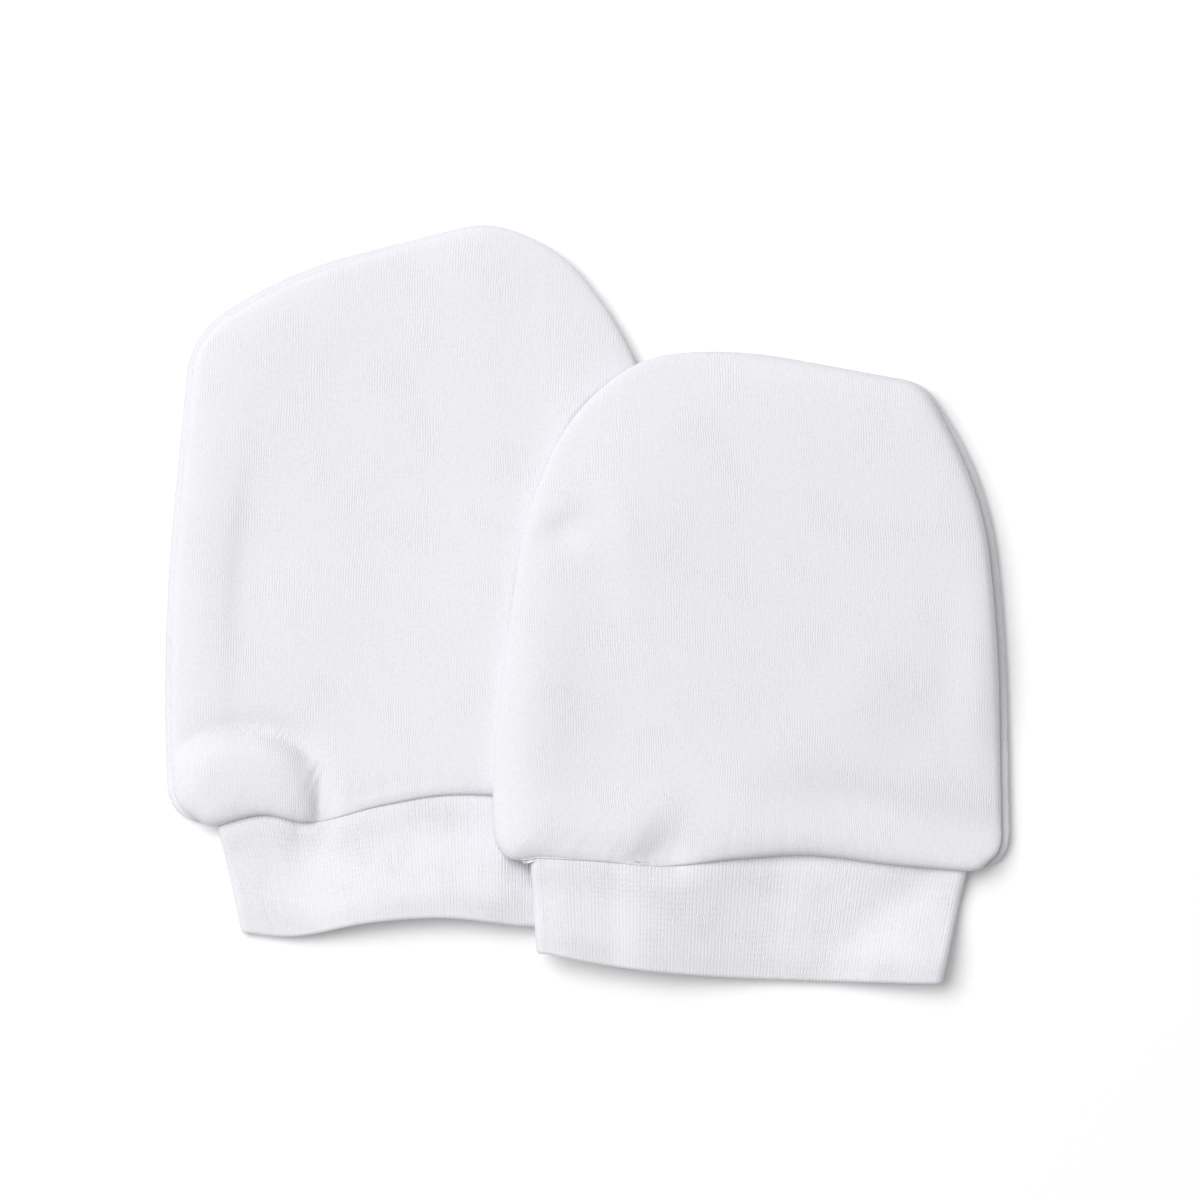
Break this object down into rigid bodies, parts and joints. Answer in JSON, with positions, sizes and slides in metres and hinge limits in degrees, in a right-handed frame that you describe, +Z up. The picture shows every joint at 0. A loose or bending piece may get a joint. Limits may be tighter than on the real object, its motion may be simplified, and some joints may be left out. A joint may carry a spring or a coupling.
{
  "type": "pair of baby mittens",
  "caption": "Two thumbless white knit mittens with folded cuff bands, laid flat with one overlapping the other.",
  "frame": {"origin": "middle of the bounding box's underside, on the surface the pair lies on", "axes": "+X across the pair to the right, +Y from the cuffs to the finger ends, +Z up from the surface"},
  "size_m": [0.1346, 0.121, 0.0132],
  "materials": {
    "body_knit": "fine interlock cotton knit, matt, slightly brushed",
    "cuff_knit": "fine rib cotton knit, folded double, matt"
  },
  "bodies": {
    "root": {"left_front": "body_knit", "left_back": "body_knit", "left_cuff": "cuff_knit", "right_front": "body_knit", "right_back": "body_knit", "right_cuff": "cuff_knit"}
  },
  "joints": []
}
